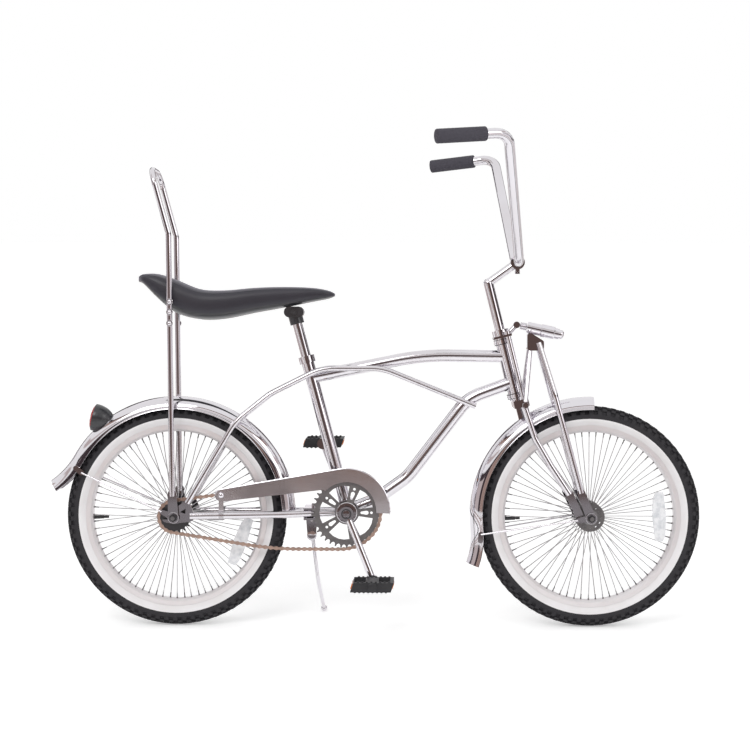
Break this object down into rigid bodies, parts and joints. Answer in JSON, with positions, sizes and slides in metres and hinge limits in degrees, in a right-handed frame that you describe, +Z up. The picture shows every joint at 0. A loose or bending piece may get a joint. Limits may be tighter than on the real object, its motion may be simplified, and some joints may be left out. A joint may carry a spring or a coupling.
{
  "type": "chopper bicycle",
  "caption": "Low chopper bicycle with twin-tube frame, springer fork, high bars, long padded seat, sissy bar, curved fenders, chain drive and side stand.",
  "frame": {"origin": "middle of the parked bike's floor box, at ground height", "axes": "+X forward, +Y to the rider's left, +Z up; the bike leans 4.5 degrees to its left"},
  "size_m": [1.4812, 0.7005, 1.1235],
  "materials": {
    "chrome": "mirror chrome",
    "rim_silver": "satin silver",
    "spoke_steel": "bright zinc",
    "dark_metal": "dark grey zinc",
    "black_paint": "gloss black",
    "chain_steel": "bronze tan",
    "guard_grey": "satin grey",
    "seat_vinyl": "soft sheen vinyl",
    "tyre_rubber": "black with white sidewalls",
    "grip_rubber": "matte",
    "pedal_plastic": "matte",
    "lens_red": "translucent red",
    "reflector_clear": "clear prismatic"
  },
  "bodies": {
    "frame": {"head_tube": "chrome", "top_tube": "chrome", "down_tube": "chrome", "seat_tube": "chrome", "twin_tubes": "chrome", "chainstays": "chrome", "seat_post": "chrome", "seat_clamp": "black_paint", "saddle": "seat_vinyl", "sissy_bar": "chrome", "rear_fender": "chrome", "rear_fender_stays": "chrome", "tail_lamp": "black_paint", "tail_lens": "lens_red", "chain": "chain_steel", "chain_guard": "guard_grey", "rear_sprocket": "black_paint", "brake_arm": "dark_metal", "kickstand_bracket": "chrome", "rear_axle": "dark_metal"},
    "fork": {"fork_rear_legs": "chrome", "fork_front_legs": "chrome", "fork_links": "dark_metal", "fork_spring": "chrome", "fork_bracket": "chrome", "stem": "chrome", "handlebar": "chrome", "grip_right": "grip_rubber", "grip_left": "grip_rubber", "front_fender": "chrome", "front_fender_stays": "chrome", "front_axle": "dark_metal"},
    "front_wheel": {"front_tyre": "tyre_rubber", "front_rim": "rim_silver", "front_spokes": "spoke_steel", "front_hub": "dark_metal", "front_reflector": "reflector_clear"},
    "rear_wheel": {"rear_tyre": "tyre_rubber", "rear_rim": "rim_silver", "rear_spokes": "spoke_steel", "rear_hub": "dark_metal", "rear_reflector": "reflector_clear"},
    "crank": {"crank": "chrome", "chainring": "dark_metal"},
    "pedal_right": {"pedal_right": "pedal_plastic"},
    "pedal_left": {"pedal_left": "pedal_plastic"},
    "kickstand": {"kickstand": "chrome"}
  },
  "joints": [
    {"name": "steering", "type": "hinge", "parent": "frame", "child": "fork", "pos_m": [0.32061, -0.04285, 0.53052], "axis": [-0.2419, 0.0761, 0.9673], "range_deg": [-60, 60]},
    {"name": "front_wheel_spin", "type": "hinge", "parent": "fork", "child": "front_wheel", "pos_m": [0.48861, -0.06482, 0.25138], "axis": [0, 0.9969, -0.0785], "continuous": true},
    {"name": "rear_wheel_spin", "type": "hinge", "parent": "frame", "child": "rear_wheel", "pos_m": [-0.45239, -0.06482, 0.25138], "axis": [0, 0.9969, -0.0785], "continuous": true},
    {"name": "crank_spin", "type": "hinge", "parent": "frame", "child": "crank", "pos_m": [-0.06239, -0.06404, 0.26135], "axis": [0, 0.9969, -0.0785], "continuous": true},
    {"name": "pedal_right_spin", "type": "hinge", "parent": "crank", "child": "pedal_right", "pos_m": [-0.00245, -0.07568, 0.11346], "axis": [0, 0.9969, -0.0785], "continuous": true},
    {"name": "pedal_left_spin", "type": "hinge", "parent": "crank", "child": "pedal_left", "pos_m": [-0.12232, -0.0524, 0.40924], "axis": [0, 0.9969, -0.0785], "continuous": true},
    {"name": "kickstand_fold", "type": "hinge", "parent": "frame", "child": "kickstand", "pos_m": [-0.14539, -0.02273, 0.19992], "axis": [0, 0.9975, 0.0703], "range_deg": [0, 100]}
  ]
}
